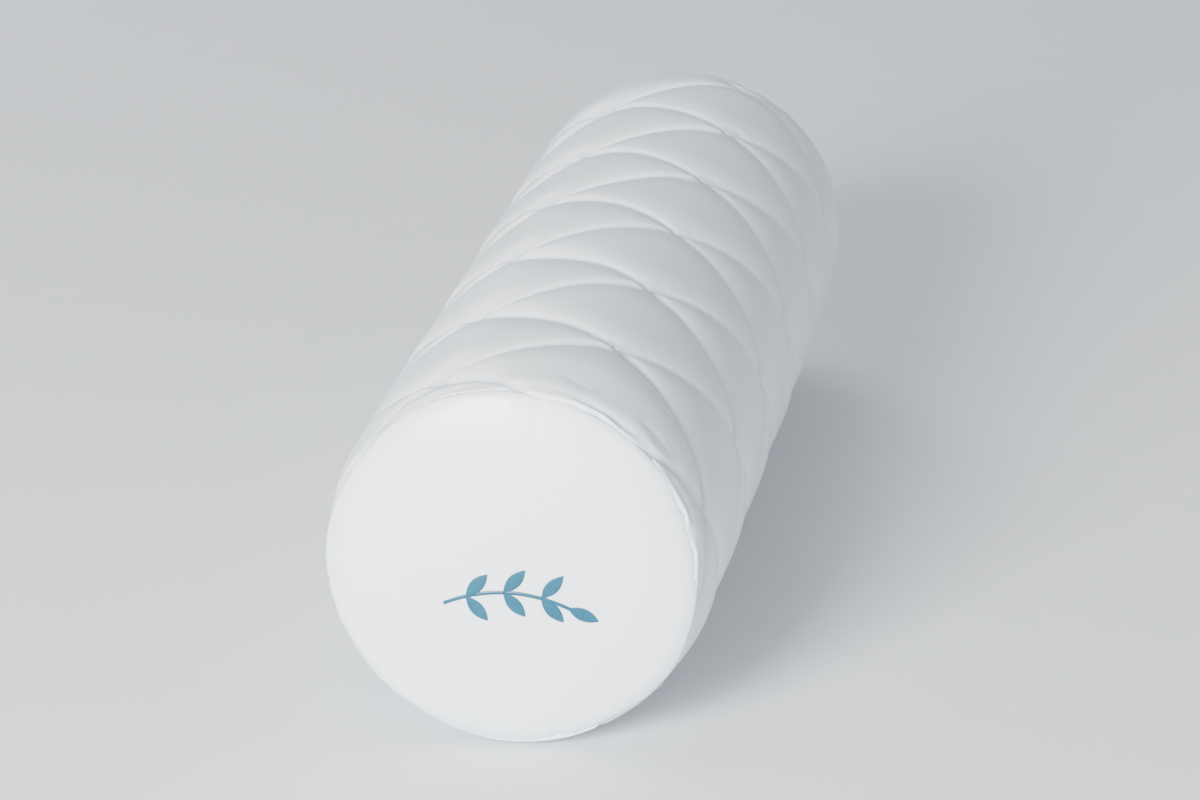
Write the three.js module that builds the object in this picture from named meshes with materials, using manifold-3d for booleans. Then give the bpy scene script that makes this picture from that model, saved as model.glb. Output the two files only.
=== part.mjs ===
// A bolster pillow for a massage table: a round foam core in a quilted leatherette cover that zips open.
// Millimetres, +Z up. The long axis runs along X, the plain rest face lies on Z = 0 and the emblem is on -X.
import * as THREE from "three";
import { mergeVertices } from "three/addons/utils/BufferGeometryUtils.js";
import Module from "manifold-3d";

const wasm = await Module();
wasm.setup();

// ---- the whole bolster ----
const overallLength = 600; // crown of one end cap to crown of the other
const sleeveRadius = 90; // over the quilted sleeve
const restFlatWidth = 53; // strip that the bolster's own weight flattens
const roundSides = 32; // facets in a full turn

// ---- cloth layers of the sleeve, from the outside in ----
const layerGap = 0.3; // clearance between two layers that lie on each other
const facingThickness = 1.2;
const waddingThickness = 8;
const backingThickness = 0.6;
const innerCoverThickness = 0.8;
const layerCrush = 4; // how fast the flattening fades from the sleeve towards the core

// ---- ends ----
const shoulderLength = 16; // how far along X the sleeve rolls over to its seam
const shoulderSteps = 3;
const capDome = 15; // crown of a cap above its seam
const domeSteps = 5;
const capBackingThickness = 0.6;
const bindingThickness = 2.4; // folded tape that binds the seam allowance
const threadThickness = 0.8;

// ---- zip, in the rear of the sleeve ----
const zipFacet = 1; // facets that it lies above the level of the long axis
const chainLength = 450;
const chainWidth = 5.8; // over both rows
const chainThickness = 1.6;
const rowSpacing = 1.3; // open line between the two rows, which the slider's neck runs in
const tapeWidth = 13; // each tape, past its row
const tapeThickness = 0.5;
const slotClearance = 0.8; // between the slider and each edge of the sleeve
const slotPastChain = 5; // at each end
const tapePastChain = 10;
const guardThickness = 0.7; // soft flap behind the zip
const pocketPastTape = 4; // room in the wadding past each end of the tapes
const pocketBesideTape = 2;
const stopLength = 3;
const stopStandsOut = 0.15; // past the chain, on each face
const topstitchInset = 2.3; // from the slot's edge
const joinGap = 1.2; // between the topstitching and the sleeve's own join

// ---- slider and its pull ----
const sliderLength = 13;
const plateThickness = 0.8;
const slideClearance = 0.3; // between the slider and the chain, above and below
const flangeThickness = 0.8;
const flangeClearance = 0.7; // between a flange and its row
const flangeDepth = 0.6;
const neckClearance = 0.25; // between the neck and each row
const neckLength = 3;
const neckInset = 1; // from the slider's leading end
const archLength = 7.2; // bridge on the top plate that carries the pull
const archWidth = 1.8;
const archThickness = 0.7;
const postLength = 0.9;
const pullLength = 27;
const pullThickness = 1;
const pullClearance = 0.5; // between the pull's crossbar and the bridge
const windowClearance = 0.55; // round the bridge, in the pull's window
const pullSideBar = 1.3;

// ---- emblem film on the near cap ----
const filmThickness = 0.35;
const leafLength = 15;
const leafWidth = 6;
const leafPairs = 3;
const stemLength = 58;
const stemWidth = 1.8;
const stemBow = 7; // how far the stem curves off its chord
const leafLean = 48; // degrees between a leaf and the stem
const leafPairLead = 0.6; // first pair of leaves from the stem's foot, in spaces between pairs
const endLeafAt = 0.97; // where the last leaf starts, as a share of the stem
const emblemDrop = 14; // centre of the emblem below the cap's centre

// ---- sizes worked out from the ones above ----
const waddingDepth = facingThickness + layerGap;
const backingDepth = waddingDepth + waddingThickness + layerGap;
const shoulderDrop = backingDepth + layerGap; // the quilt is drawn in to the seam by its own thickness
const seamX = overallLength / 2 - capDome;
const seamRadius = sleeveRadius - shoulderDrop;
const axisHeight = Math.sqrt(sleeveRadius ** 2 - (restFlatWidth / 2) ** 2);
const innerCoverDepth = backingDepth + backingThickness + layerGap;
const coreDepth = innerCoverDepth + innerCoverThickness + layerGap;
const coverEndX = seamX - layerGap - capBackingThickness;
const coreHalf = coverEndX - innerCoverThickness - layerGap;
const bindingFrom = seamX - backingDepth + layerGap; // from the backing's edge to the seam
const bindingTo = seamX - layerGap;
const bindingOuter = seamRadius - layerGap;
const bindingInner = bindingOuter - bindingThickness;
const coreRadius = sleeveRadius - coreDepth;
const coreEdgeRadius = edgeThatClears(coreHalf - bindingFrom, coreRadius - bindingInner);
const facetMiddle = Math.cos(Math.PI / roundSides); // a facet's middle, as a share of its corner radius
const surfaceY = sleeveRadius * facetMiddle; // sleeve's surface at the zip
const tapeRadius = (sleeveRadius - facingThickness) * facetMiddle - layerGap;
const chainTop = tapeRadius - tapeThickness / 2 + chainThickness / 2;
const chainBottom = chainTop - chainThickness;
const chainHalf = chainLength / 2;
const sliderWidth = chainWidth + 2 * (flangeThickness + flangeClearance);
const slotWidth = sliderWidth + 2 * slotClearance;
const neckWidth = rowSpacing - 2 * neckClearance;
const archOpening = pullThickness * Math.SQRT2 + 2 * pullClearance; // the crossbar turns in it
const archReach = Math.hypot(archLength / 2, archOpening / 2 + archThickness);
const pullWindow = archReach + windowClearance - pullThickness / 2;
const pullWidth = archWidth + 2 * (windowClearance + pullSideBar);
const tapeInner = chainWidth / 2 + layerGap;
const tapeOuter = tapeInner + tapeWidth;

// Radius of the core's rounded edge with which its cover clears the inner corner of the seam binding.
// The corner lies inX and inR inside the core's square corner.
function edgeThatClears(inX, inR) {
  const apart = innerCoverThickness + 2 * layerGap;
  const sum = inX + inR + apart;
  return sum + Math.sqrt(sum ** 2 - (inX ** 2 + inR ** 2 - apart ** 2));
}

const materialOf = (color, roughness, metalness = 0) =>
  new THREE.MeshStandardMaterial({ color, roughness, metalness });
const leatherette = materialOf(0xe6ecef, 0.35);
const foam = materialOf(0xe9e2b8, 0.95);
const fleece = materialOf(0xf4f4f0, 0.95);
const liningCloth = materialOf(0xd8dadb, 0.9);
const thread = materialOf(0xf0f3f4, 0.6);
const emblemFilm = materialOf(0x2aa5b8, 0.4);
const zipTape = materialOf(0xdfe4e6, 0.85);
const zipCoil = materialOf(0xcdd3d6, 0.45);
const zipMetal = materialOf(0xb9bdc0, 0.25, 1);

const bolster = new THREE.Group();

function addPiece(name, geometry, material, parent = bolster) {
  const mesh = new THREE.Mesh(geometry, material);
  mesh.name = name;
  parent.add(mesh);
  return mesh;
}

// ---- booleans ----
function solidOf(geometry) {
  const bare = geometry.clone();
  bare.deleteAttribute("normal");
  bare.deleteAttribute("uv");
  const merged = mergeVertices(bare, 1e-4);
  const triVerts = new Uint32Array(merged.index.array);
  const vertProperties = merged.attributes.position.array;
  return new wasm.Manifold(new wasm.Mesh({ numProp: 3, vertProperties, triVerts }));
}

function geometryOf(solid) {
  const mesh = solid.getMesh();
  const geometry = new THREE.BufferGeometry();
  geometry.setAttribute("position", new THREE.BufferAttribute(mesh.vertProperties, 3));
  geometry.setIndex(new THREE.BufferAttribute(mesh.triVerts, 1));
  geometry.computeVertexNormals();
  return geometry;
}

const cut = (geometry, tool) => geometryOf(solidOf(geometry).subtract(solidOf(tool)));

function joined(...geometries) {
  const solids = geometries.map(solidOf);
  return geometryOf(solids.reduce((sum, solid) => sum.add(solid)));
}

// ---- round pieces: a closed profile of [x, radius] points turned about the long axis ----
function turned(profile) {
  const points = profile.map(([x, radius]) => new THREE.Vector2(radius, x));
  const geometry = new THREE.LatheGeometry(points, roundSides, Math.PI / roundSides);
  geometry.rotateZ(-Math.PI / 2);
  return facingOut(settled(geometry));
}

// Turns the faces of a piece that came out inside out.
function facingOut(geometry) {
  const solid = solidOf(geometry);
  if (solid.volume() > 0) return geometry;
  const index = geometry.index.array;
  for (let i = 0; i < index.length; i += 3) {
    [index[i + 1], index[i + 2]] = [index[i + 2], index[i + 1]];
  }
  return geometry;
}

// Outer radius of the sleeve at x: straight, then a quarter ellipse down to the seam.
function sleeveRadiusAt(x) {
  const along = (Math.abs(x) - (seamX - shoulderLength)) / shoulderLength;
  const fall = Math.min(Math.max(along, 0), 1);
  return seamRadius + shoulderDrop * Math.sqrt(1 - fall ** 2);
}

// The bolster rests on its own weight: what would hang below the rest face is lifted onto it, and the
// layers inside follow, less and less towards the core.
function settled(geometry) {
  const place = geometry.attributes.position;
  for (let i = 0; i < place.count; i++) {
    const [x, y, z] = [place.getX(i), place.getY(i), place.getZ(i)];
    const radius = Math.hypot(y, z);
    const outer = sleeveRadiusAt(x);
    const hang = radius > 0 ? (-z / radius) * outer - axisHeight : 0;
    if (hang > 0) place.setZ(i, z + hang * Math.min(radius / outer, 1) ** layerCrush);
  }
  return geometry;
}

// One edge of a sleeve layer that lies a given depth under the surface, from -X to +X.
function sleeveEdge(depth) {
  const half = [];
  for (let i = 0; i <= shoulderSteps; i++) {
    const turn = (i / shoulderSteps) * (Math.PI / 2);
    const x = seamX - depth - (shoulderLength - depth) * (1 - Math.cos(turn));
    half.push([x, seamRadius + (shoulderDrop - depth) * Math.sin(turn)]);
  }
  return bothEnds(half);
}

const mirrored = (profile) => profile.map(([x, radius]) => [-x, radius]);
const bothEnds = (half) => [...mirrored(half), ...half.reverse()];

// Places a far end's profile at either end. It runs the same way along X at both.
const atEnd = (side, profile) => (side > 0 ? profile : mirrored(profile).reverse());

// A tube between two edges. The facets of neighbouring layers nest only if their edges run the same way,
// so every second layer is drawn backwards.
function tube(outer, inner, isBackwards) {
  const [there, back] = isBackwards ? [outer.reverse(), inner] : [outer, inner.reverse()];
  return turned([...there, ...back, there[0]]);
}

const sleeveLayer = (depth, thickness, isBackwards = false) =>
  tube(sleeveEdge(depth), sleeveEdge(depth + thickness), isBackwards);

// Quarter ellipse of an end cap's layer from its rim to its crown, a given depth under the cap's surface.
function domeEdge(depth, foot) {
  const edge = [];
  for (let i = 0; i <= domeSteps; i++) {
    const turn = (i / domeSteps) * (Math.PI / 2);
    const rise = (overallLength / 2 - depth - foot) * Math.sin(turn);
    edge.push([foot + rise, (seamRadius - depth) * Math.cos(turn)]);
  }
  edge[domeSteps][1] = 0;
  return edge;
}

// Radius at x of the straight sides that stand in for an edge.
function radiusOn(edge, x) {
  const next = edge.findIndex((point) => point[0] > x);
  const [[fromX, fromRadius], [toX, toRadius]] = [edge[next - 1], edge[next]];
  return fromRadius + ((x - fromX) / (toX - fromX)) * (toRadius - fromRadius);
}

// ---- zip slot through the sleeve ----
const zipPlace = new THREE.Group();
zipPlace.position.z = axisHeight;
zipPlace.rotation.x = (zipFacet * 2 * Math.PI) / roundSides;
bolster.add(zipPlace);

// A bar along X with round ends, in the zip's own frame: y points out of the sleeve, z across the zip.
function roundBar(halfLength, halfWidth, fromY, toY) {
  const outline = new THREE.Shape();
  const straight = halfLength - halfWidth;
  outline.absarc(straight, 0, halfWidth, -Math.PI / 2, Math.PI / 2);
  outline.absarc(-straight, 0, halfWidth, Math.PI / 2, (3 * Math.PI) / 2);
  return standing(outline, fromY, toY);
}

// Extrudes an outline drawn in x and z between two heights of the zip's frame.
function standing(outline, fromY, toY, curveSegments = 6) {
  const settings = { depth: toY - fromY, bevelEnabled: false, curveSegments };
  const geometry = new THREE.ExtrudeGeometry(outline, settings);
  geometry.rotateX(-Math.PI / 2);
  geometry.translate(0, fromY, 0);
  return geometry;
}

const block = (fromX, toX, fromY, toY, halfZ, middleZ = 0) =>
  new THREE.BoxGeometry(toX - fromX, toY - fromY, 2 * halfZ).translate(
    (fromX + toX) / 2,
    (fromY + toY) / 2,
    middleZ,
  );

// Moves a tool from the zip's frame to the long axis's frame, where the layers are cut.
function atZip(geometry) {
  return geometry.rotateX(zipPlace.rotation.x);
}

const cutOver = 5; // how far a cutting tool stands past what it cuts
const beyondSurface = sleeveRadius + cutOver;
const slotHalf = chainHalf + slotPastChain;
const tapeHalf = chainHalf + tapePastChain;
const slotFloor = seamRadius - shoulderDrop; // under the innermost layer of the sleeve
const facingSlot = () => atZip(roundBar(slotHalf, slotWidth / 2, slotFloor, beyondSurface));
const pocketHalf = tapeHalf + pocketPastTape;
const zipPocket = () =>
  atZip(block(-pocketHalf, pocketHalf, slotFloor, beyondSurface, tapeOuter + pocketBesideTape));

// ---- layers of the sleeve ----
const layers = new THREE.Group();
layers.position.z = axisHeight;
bolster.add(layers);

const facing = cut(sleeveLayer(0, facingThickness), facingSlot());
addPiece("quilted_facing", facing, leatherette, layers);
const wadding = cut(sleeveLayer(waddingDepth, waddingThickness, true), zipPocket());
addPiece("quilt_wadding", wadding, fleece, layers);
const backing = cut(sleeveLayer(backingDepth, backingThickness), facingSlot());
addPiece("quilt_backing", backing, liningCloth, layers);

// ---- core and its inner cover ----
// Half outline of the core, or of a cloth round it, that lies a given distance outside the foam.
function coreEdge(outside) {
  const steps = 3;
  const bend = coreEdgeRadius + outside;
  const half = [];
  for (let i = 0; i <= steps; i++) {
    const turn = (i / steps) * (Math.PI / 2);
    half.push([
      coreHalf - coreEdgeRadius + bend * Math.cos(turn),
      coreRadius - coreEdgeRadius + bend * Math.sin(turn),
    ]);
  }
  return bothEnds(half);
}

addPiece("foam_core", turned([[-coreHalf, 0], ...coreEdge(0), [coreHalf, 0]]), foam, layers);

const coverTube = tube(coreEdge(layerGap + innerCoverThickness), coreEdge(layerGap), true);
addPiece("inner_cover", coverTube, liningCloth, layers);

// ---- ends: side is -1 at the near end and 1 at the far end ----
function ring(side, fromX, toX, fromRadius, toRadius) {
  const profile = [
    [fromX, fromRadius],
    [fromX, toRadius],
    [toX, toRadius],
    [toX, fromRadius],
    [fromX, fromRadius],
  ];
  return turned(atEnd(side, profile));
}

// A disc is a ring whose hole has closed, so its profile starts and ends on the axis.
function disc(side, fromX, thickness, radius) {
  const toX = fromX + thickness;
  return turned(atEnd(side, [[fromX, 0], [fromX, radius], [toX, radius], [toX, 0]]));
}

const capFoot = seamX + layerGap;
const crownX = overallLength / 2;

function endCap(side) {
  const outside = domeEdge(0, capFoot);
  const inside = domeEdge(facingThickness, capFoot).reverse();
  return turned(atEnd(side, [...outside, ...inside, outside[0]]));
}

function capPadding(side) {
  const foot = capFoot + capBackingThickness + layerGap;
  const edge = domeEdge(waddingDepth, capFoot);
  const dome = edge.filter(([x]) => x > foot);
  return turned(atEnd(side, [[foot, 0], [foot, radiusOn(edge, foot)], ...dome]));
}

const seamBinding = (side) => ring(side, bindingFrom, bindingTo, bindingInner, bindingOuter);

function seamStitch(side) {
  const fromX = capFoot + layerGap;
  const fromRadius = seamRadius + 2 * layerGap;
  return ring(side, fromX, fromX + threadThickness, fromRadius, fromRadius + threadThickness);
}

const coverDiscRadius = coreRadius - coreEdgeRadius - layerGap;
const coverDisc = (side) => disc(side, coreHalf + layerGap, innerCoverThickness, coverDiscRadius);
const capInside = domeEdge(facingThickness, capFoot);
const backingRadius = radiusOn(capInside, capFoot + capBackingThickness) - layerGap;
const capBacking = (side) => disc(side, capFoot, capBackingThickness, backingRadius);

const endPieces = [
  ["inner_cover_end", coverDisc, liningCloth],
  ["seam_binding", seamBinding, zipTape],
  ["cap_backing", capBacking, liningCloth],
  ["cap_padding", capPadding, fleece],
  ["end_cap", endCap, leatherette],
  ["end_seam_stitch", seamStitch, thread],
];
for (const [end, side] of [["near", -1], ["far", 1]]) {
  for (const [piece, shapeOf, material] of endPieces) {
    addPiece(piece + "_" + end, shapeOf(side), material, layers);
  }
}

// ---- zip: two tapes, each with its row of coil ----
const inZip = (name, geometry, material) => addPiece(name, geometry, material, zipPlace);

// A strip of cloth along X whose section is a piece of a ring round the long axis.
function arcStrip(fromZ, toZ, outer, thickness, halfLength) {
  const inner = outer - thickness;
  const [from, to] = [fromZ, toZ].map((z) => Math.asin(z / outer));
  const outline = new THREE.Shape();
  outline.absarc(0, 0, outer, from, to);
  outline.absarc(0, 0, inner, to, from, true);
  const settings = { depth: 2 * halfLength, bevelEnabled: false, curveSegments: 3 };
  const geometry = new THREE.ExtrudeGeometry(outline, settings);
  geometry.translate(0, 0, -halfLength);
  const [alongX, outY, acrossZ] = [0, 1, 2].map((axis) => new THREE.Vector3().setComponent(axis, 1));
  return geometry.applyMatrix4(new THREE.Matrix4().makeBasis(outY, acrossZ, alongX));
}

const rowWidth = (chainWidth - rowSpacing) / 2;
const rowMiddle = (chainWidth - rowWidth) / 2;
const tapeStrip = (fromZ, toZ) => arcStrip(fromZ, toZ, tapeRadius, tapeThickness, tapeHalf);
const coilRow = (side) =>
  block(-chainHalf, chainHalf, chainBottom, chainTop, rowWidth / 2, side * rowMiddle);
inZip("zip_tape_upper", tapeStrip(tapeInner, tapeOuter), zipTape);
inZip("zip_tape_lower", tapeStrip(-tapeOuter, -tapeInner), zipTape);
inZip("zip_coil_upper", coilRow(1), zipCoil);
inZip("zip_coil_lower", coilRow(-1), zipCoil);

// A stop is clamped on at each end of the chain, between the tapes.
function stop(side) {
  const nearX = side * (chainHalf + layerGap);
  const farX = nearX + side * stopLength;
  const [fromX, toX] = side > 0 ? [nearX, farX] : [farX, nearX];
  return block(fromX, toX, chainBottom - stopStandsOut, chainTop + stopStandsOut, chainWidth / 2);
}

inZip("zip_top_stop", stop(-1), zipMetal);
inZip("zip_bottom_stop", stop(1), zipMetal);

// The guard is a flap of cloth on the backing that keeps the zip off the core.
const guardOuter = sleeveRadius - backingDepth + 2 * layerGap + guardThickness;
const guard = arcStrip(-tapeOuter, tapeOuter, guardOuter, guardThickness, tapeHalf);
inZip("zip_guard", guard, liningCloth);

// One row of topstitching runs round the slot, and the sleeve's own join carries on past each end of it.
const stitchHalfWidth = slotWidth / 2 + topstitchInset;
const stitchHalfLength = slotHalf + topstitchInset;
const stitchY = surfaceY + layerGap / 2;
const stitchTop = stitchY + threadThickness / 2;
const stitchLoop = roundBar(stitchHalfLength, stitchHalfWidth, stitchY, stitchTop);
const stitchInside = roundBar(
  stitchHalfLength - threadThickness,
  stitchHalfWidth - threadThickness,
  stitchY - cutOver,
  stitchTop + cutOver,
);
inZip("zip_topstitch", cut(stitchLoop, stitchInside), thread);

const joinFrom = stitchHalfLength + joinGap;
const joinTo = seamX - shoulderLength;
const joinStitch = () => block(joinFrom, joinTo, stitchY, stitchTop, threadThickness / 2);
inZip("join_stitch_near", joinStitch().translate(-joinFrom - joinTo, 0, 0), thread);
inZip("join_stitch_far", joinStitch(), thread);

// ---- slider: two plates round the chain, joined by the neck between its rows, with a bridge on top ----
const sliderRest = -chainHalf + sliderLength / 2 + layerGap;
const topPlateFrom = chainTop + slideClearance;
const topPlateTo = topPlateFrom + plateThickness;
const lowPlateTo = chainBottom - slideClearance;
const lowPlateFrom = lowPlateTo - plateThickness;
const pullY = topPlateTo + archOpening / 2;

function plateOutline() {
  const [end, side] = [sliderLength / 2, sliderWidth / 2];
  const outline = new THREE.Shape();
  outline.moveTo(end, -side / 2);
  outline.lineTo(end, side / 2);
  outline.quadraticCurveTo(end, side, end / 2, side);
  outline.lineTo(-end / 2, side);
  outline.quadraticCurveTo(-end, side, -end, side / 3);
  outline.lineTo(-end, -side / 3);
  outline.quadraticCurveTo(-end, -side, -end / 2, -side);
  outline.lineTo(end / 2, -side);
  outline.quadraticCurveTo(end, -side, end, -side / 2);
  return outline;
}

function sliderBody() {
  const plateMiddle = plateThickness / 2;
  const flangeMiddle = (sliderWidth - flangeThickness) / 2;
  const flangeEnd = sliderLength / 4;
  const flange = (fromY, toY, side) =>
    block(-flangeEnd, flangeEnd, fromY, toY, flangeThickness / 2, side * flangeMiddle);
  const neckFrom = -sliderLength / 2 + neckInset;
  const [neckLow, neckHigh] = [lowPlateTo - plateMiddle, topPlateFrom + plateMiddle];
  const postEnd = archLength / 2;
  const archTop = topPlateTo + archOpening + archThickness;
  const post = (side) => {
    const [fromX, toX] = [postEnd - postLength, postEnd];
    const standingPost = block(fromX, toX, topPlateFrom + plateMiddle, archTop, archWidth / 2);
    return side > 0 ? standingPost : standingPost.translate(-fromX - toX, 0, 0);
  };
  return joined(
    standing(plateOutline(), topPlateFrom, topPlateTo, 4),
    standing(plateOutline(), lowPlateFrom, lowPlateTo, 4),
    flange(topPlateFrom - flangeDepth, neckHigh, 1),
    flange(topPlateFrom - flangeDepth, neckHigh, -1),
    flange(neckLow, lowPlateTo + flangeDepth, 1),
    flange(neckLow, lowPlateTo + flangeDepth, -1),
    block(neckFrom, neckFrom + neckLength, neckLow, neckHigh, neckWidth / 2),
    post(1),
    post(-1),
    block(-postEnd, postEnd, archTop - archThickness, archTop, archWidth / 2),
  );
}

inZip("zip_slider", sliderBody(), zipMetal).position.x = sliderRest;

// The pull's crossbar lies under the bridge and its window goes round it.
function pullTab() {
  const half = pullWidth / 2;
  const bar = pullThickness / 2;
  const outline = new THREE.Shape();
  outline.moveTo(-bar, -half);
  outline.lineTo(pullLength - half, -half);
  outline.absarc(pullLength - half, 0, half, -Math.PI / 2, Math.PI / 2);
  outline.lineTo(-bar, half);
  const side = half - pullSideBar;
  const window = new THREE.Path();
  window.moveTo(bar, -side);
  window.lineTo(bar, side);
  window.lineTo(bar + pullWindow, side);
  window.lineTo(bar + pullWindow, -side);
  outline.holes.push(window);
  return standing(outline, -bar, bar);
}

inZip("zip_pull", pullTab(), zipMetal).position.set(sliderRest, pullY, 0);

// ---- emblem: a sprig of leaves in thin film, laid on the dome of the near cap ----
// Outlines are drawn as seen from -X, with u to the viewer's right and v up.
function leafOutline(atU, atV, heading) {
  const [alongU, alongV] = [Math.cos(heading), Math.sin(heading)];
  const at = (along, across) => [
    atU + along * alongU - across * alongV,
    atV + along * alongV + across * alongU,
  ];
  const outline = new THREE.Shape();
  outline.moveTo(...at(0, 0));
  outline.quadraticCurveTo(...at(leafLength / 2, -leafWidth), ...at(leafLength, 0));
  outline.quadraticCurveTo(...at(leafLength / 2, leafWidth), ...at(0, 0));
  return outline;
}

// Middle of the stem, an arc of a parabola, at a share from 0 to 1 of its length.
const stemAt = (share) => [
  (share - 0.5) * stemLength,
  4 * stemBow * share * (1 - share) - emblemDrop,
];

function stemOutline() {
  const steps = 12;
  const edge = (side) =>
    Array.from({ length: steps + 1 }, (_, i) => {
      const [u, v] = stemAt(i / steps);
      return new THREE.Vector2(u, v + (side * stemWidth) / 2);
    });
  return new THREE.Shape([...edge(-1), ...edge(1).reverse()]);
}

function emblem() {
  const outlines = [stemOutline()];
  const lean = THREE.MathUtils.degToRad(leafLean);
  for (let i = 0; i < leafPairs; i++) {
    const [u, v] = stemAt((i + leafPairLead) / (leafPairs + 1 - leafPairLead));
    outlines.push(leafOutline(u, v, lean), leafOutline(u, v, -lean));
  }
  outlines.push(leafOutline(...stemAt(endLeafAt), -lean / 2));
  const settings = { depth: filmThickness, bevelEnabled: false, curveSegments: 4 };
  const films = outlines.map((outline) => new THREE.ExtrudeGeometry(outline, settings));
  return laidOnCap(joined(...films));
}

// Turns a flat film, thick along its third axis, onto the dome of the near cap.
function laidOnCap(geometry) {
  const place = geometry.attributes.position;
  for (let i = 0; i < place.count; i++) {
    const [u, v, height] = [place.getX(i), place.getY(i), place.getZ(i)];
    const share = Math.hypot(u, v) / seamRadius;
    const dome = capFoot + (crownX - capFoot) * Math.sqrt(1 - share ** 2);
    place.setXYZ(i, -dome - layerGap - height, -u, v);
  }
  geometry.computeVertexNormals();
  return facingOut(geometry);
}

addPiece("cap_emblem", emblem(), emblemFilm, layers);

export default bolster;
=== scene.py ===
import math
import bpy
import bmesh
import numpy as np
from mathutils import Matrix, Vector


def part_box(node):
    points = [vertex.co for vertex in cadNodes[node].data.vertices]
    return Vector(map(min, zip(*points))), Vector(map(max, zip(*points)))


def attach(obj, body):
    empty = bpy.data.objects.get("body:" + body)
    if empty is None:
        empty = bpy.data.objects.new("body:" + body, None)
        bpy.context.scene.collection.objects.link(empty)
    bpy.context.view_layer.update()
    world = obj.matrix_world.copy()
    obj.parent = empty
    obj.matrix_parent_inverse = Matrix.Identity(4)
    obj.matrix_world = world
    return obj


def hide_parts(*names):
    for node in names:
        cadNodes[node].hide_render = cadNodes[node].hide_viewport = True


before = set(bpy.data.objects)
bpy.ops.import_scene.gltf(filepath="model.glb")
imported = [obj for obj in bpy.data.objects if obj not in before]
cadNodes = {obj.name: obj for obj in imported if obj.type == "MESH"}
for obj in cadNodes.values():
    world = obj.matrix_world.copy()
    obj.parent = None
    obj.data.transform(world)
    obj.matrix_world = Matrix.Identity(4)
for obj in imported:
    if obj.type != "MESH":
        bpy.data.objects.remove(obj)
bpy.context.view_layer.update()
scene = bpy.context.scene
print("frame loaded:", len(cadNodes), "nodes")

# Sizes that every piece shares, in metres, read from the frame. The long axis runs along X at axisZ.
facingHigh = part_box("quilted_facing")[1]
seamX = facingHigh.x
axisZ = facingHigh.z - facingHigh.y
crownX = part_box("end_cap_far")[1].x
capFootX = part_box("end_cap_far")[0].x
halfFacet = math.pi / 32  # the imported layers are 32-sided, so their boxes end at the middle of a side
coverRadius = facingHigh.y / math.cos(halfFacet)
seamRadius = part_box("end_cap_far")[1].y / math.cos(halfFacet)
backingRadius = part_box("quilt_backing")[1].y / math.cos(halfFacet)
zipTurn = math.radians(11.25)  # the zip lies this far above the level of the axis, on +Y
axisMiddle = np.array([0, 0, axisZ])
cloth = {
    "facing": 0.0012,    # thickness of the leatherette
    "shoulder": 0.016,   # how far along X the sleeve rolls over to its seam
    "crush": 4,          # how fast the sag fades from the sleeve towards the axis
}


# Share that climbs smoothly from 0 at low to 1 at high.
def smoothStep(low, high, value):
    share = np.clip((value - low) / (high - low), 0, 1)
    return share * share * (3 - 2 * share)


# Radius of the plump sleeve at x: straight, then a quarter of an ellipse down to the seam.
def sleeveRadiusAt(x):
    fall = np.clip((np.abs(x) - (seamX - cloth["shoulder"])) / cloth["shoulder"], 0, 1)
    return seamRadius + (coverRadius - seamRadius) * np.sqrt(1 - fall**2)


# The bolster sags onto its rest face: what hangs below it is lifted, and layers inside follow less and less.
def settled(points, lift=0.0):
    placed = np.array(points, float)
    y, z = placed[..., 1], placed[..., 2] - axisZ
    radius = np.maximum(np.hypot(y, z), 1e-9)
    outer = sleeveRadiusAt(placed[..., 0])
    hang = np.maximum(-z / radius * outer - axisZ, 0)
    z = z + hang * np.minimum(radius / outer, 1) ** cloth["crush"]
    placed[..., 2] = np.maximum(z + axisZ, lift)
    return placed


# Point at x, turned by angle from +Y towards +Z, at a radius from the long axis.
def roundAxis(x, angle, radius):
    x, angle, radius = np.broadcast_arrays(x, angle, radius)
    return np.stack([x, radius * np.cos(angle), axisZ + radius * np.sin(angle)], -1)


# Quads of a grid of rows and columns. Corner order makes (row x column) directions (along, across) face out.
def gridFaces(rows, columns, closed=False, start=0):
    across = columns if closed else columns - 1
    row, column = np.meshgrid(np.arange(rows - 1), np.arange(across), indexing="ij")
    after = (column + 1) % columns
    corners = [row * columns + column, row * columns + after,
               (row + 1) * columns + after, (row + 1) * columns + column]
    return np.stack(corners, -1).reshape(-1, 4) + start


# Smooth-shaded mesh from a grid or list of points and a list of faces.
def meshOf(name, points, faces):
    mesh = bpy.data.meshes.new(name)
    mesh.from_pydata(np.asarray(points, float).reshape(-1, 3).tolist(), [], faces)
    mesh.shade_smooth()
    mesh.update()
    return mesh


# Object with one material that rides on a body, and stands for the CAD nodes in replaced.
def addPiece(name, mesh, body, material, replaced=()):
    piece = bpy.data.objects.new(name, mesh)
    scene.collection.objects.link(piece)
    piece.data.materials.clear()
    piece.data.materials.append(material)
    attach(piece, body)
    if replaced:
        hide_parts(*replaced)
    return piece


# Vertices of a mesh as rows of x, y, z.
def pointsOf(mesh):
    flat = np.empty(len(mesh.vertices) * 3, np.float32)
    mesh.vertices.foreach_get("co", flat)
    return flat.reshape(-1, 3).astype(float)


# Leaves only what the modifiers made of a piece.
def applyAll(piece):
    graph = bpy.context.evaluated_depsgraph_get()
    made = bpy.data.meshes.new_from_object(piece.evaluated_get(graph))
    piece.modifiers.clear()
    piece.data = made


# Gives a sheet its thickness: offset -1 puts it inside the sheet, and 1 outside.
def thicken(piece, thickness, offset):
    shell = piece.modifiers.new("thickness", "SOLIDIFY")
    shell.thickness = thickness
    shell.offset = offset
    applyAll(piece)


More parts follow.
